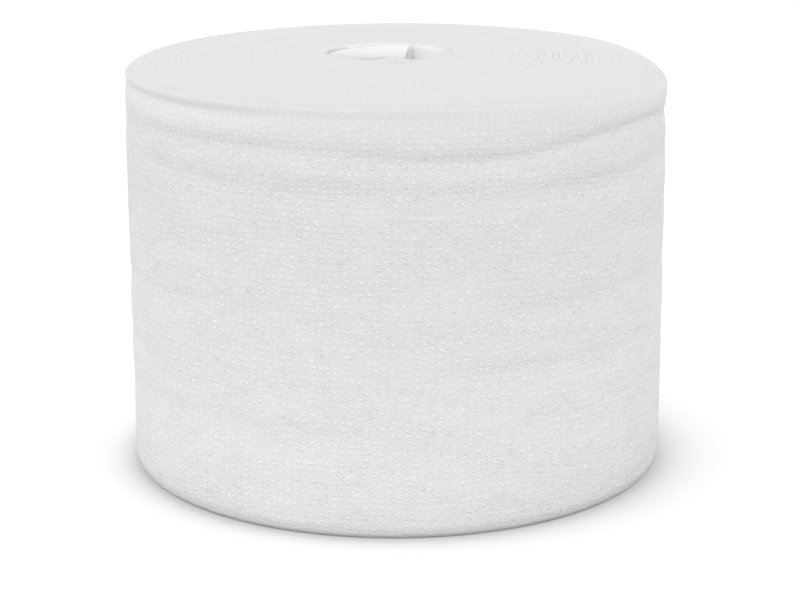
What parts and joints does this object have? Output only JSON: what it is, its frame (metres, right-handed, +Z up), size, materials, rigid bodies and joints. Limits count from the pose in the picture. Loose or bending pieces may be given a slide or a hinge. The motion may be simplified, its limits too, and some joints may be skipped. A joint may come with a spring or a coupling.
{
  "type": "tubular bandage roll",
  "caption": "White knitted tubular bandage, pressed flat and wound without a core into a wide roll that stands on its end, with an open eye in the middle.",
  "frame": {"origin": "middle of the flat end face that the roll rests on", "axes": "+Z up along the winding axis, -Y towards the front that the picture shows, +X to its right"},
  "size_m": [0.1584, 0.1574, 0.1207],
  "materials": {
    "white_knit": "matt bleached cotton knit, rows of small stitches"
  },
  "bodies": {
    "root": {"bandage_roll": "white_knit"}
  },
  "joints": []
}
